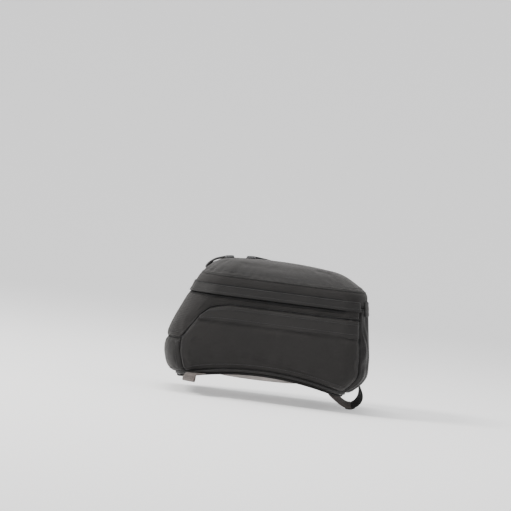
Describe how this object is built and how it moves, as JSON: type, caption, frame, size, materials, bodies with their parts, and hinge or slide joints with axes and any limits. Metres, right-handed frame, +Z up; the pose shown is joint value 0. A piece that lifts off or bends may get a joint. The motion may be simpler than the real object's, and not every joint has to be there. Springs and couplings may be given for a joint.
{
  "type": "tank bag",
  "caption": "Small zipped motorcycle tank bag with a hinged padded lid, moulded side fins, a carry loop and a quick-release tank ring.",
  "frame": {"origin": "centre of the tank ring's seat on the tank", "axes": "+X forward to the handlebars, +Y to the rider's left, +Z up, square to the ring's seat"},
  "size_m": [0.3015, 0.2187, 0.2101],
  "materials": {
    "ring_plastic": "moulded grey glass-filled plastic",
    "latch_plastic": "moulded black plastic",
    "plate_plastic": "sheet plastic",
    "steel": "zinc-plated steel",
    "grey_webbing": "grey-brown woven webbing",
    "black_webbing": "black woven webbing",
    "rubberised_fabric": "rubberised black fabric, satin",
    "woven_fabric": "matt black woven synthetic over foam board",
    "moulded_fabric": "black fabric pressed over moulded foam",
    "lining": "plain grey lining cloth",
    "zip_tape": "black zip tape with coil teeth",
    "zip_metal": "black painted die-cast metal",
    "handle_rubber": "soft rubberised webbing"
  },
  "bodies": {
    "ring": {"tank_ring": "ring_plastic"},
    "bag": {"receiver_ring": "ring_plastic", "ring_screws": "steel", "ring_nuts": "steel", "base_plate": "plate_plastic", "latch_springs": "steel", "bottom_pad": "rubberised_fabric", "bottom_gusset": "rubberised_fabric", "side_panel_right": "woven_fabric", "side_panel_left": "woven_fabric", "side_fin_right": "moulded_fabric", "side_fin_left": "moulded_fabric", "rear_panel": "woven_fabric", "rear_bumper": "moulded_fabric", "front_panel": "rubberised_fabric", "body_lining": "lining", "zip_tape_lower": "zip_tape", "lid_hinge_strip": "black_webbing", "front_strap_loop": "black_webbing"},
    "latch": {"release_latch": "latch_plastic", "release_strap": "grey_webbing"},
    "lid": {"lid_shell": "woven_fabric", "lid_lining": "lining", "zip_tape_upper": "zip_tape", "rain_flap": "moulded_fabric", "handle_anchors": "black_webbing"},
    "handle": {"carry_handle": "handle_rubber"},
    "slider_left": {"zip_slider_left": "zip_metal", "zip_pull_left": "black_webbing"},
    "slider_right": {"zip_slider_right": "zip_metal", "zip_pull_right": "black_webbing"}
  },
  "joints": [
    {"name": "ring_lift", "type": "slide", "parent": "ring", "child": "bag", "axis": [0, 0, 1], "range_m": [0, 0.014]},
    {"name": "latch_slide", "type": "slide", "parent": "bag", "child": "latch", "axis": [-0.6858, -0.7278, 0], "range_m": [0, 0.007], "stiffness_N_per_m": 300, "springref_m": -0.006, "deforming": ["latch_springs"]},
    {"name": "lid_hinge", "type": "hinge", "parent": "bag", "child": "lid", "pos_m": [0.1532, 0, 0.125], "axis": [0, 1, 0], "range_deg": [0, 100]},
    {"name": "handle_swing", "type": "hinge", "parent": "lid", "child": "handle", "pos_m": [-0.045, 0, 0.1795], "axis": [1, 0, 0], "range_deg": [0, 160]},
    {"name": "slider_left_slide", "type": "slide", "parent": "bag", "child": "slider_left", "axis": [0, 1, 0], "range_m": [0, 0.026]},
    {"name": "slider_right_slide", "type": "slide", "parent": "bag", "child": "slider_right", "axis": [0, -1, 0], "range_m": [0, 0.026]}
  ],
  "couplings": [
    {"joint": "latch_slide", "follows": "ring_lift", "ratio": 0.5}
  ]
}
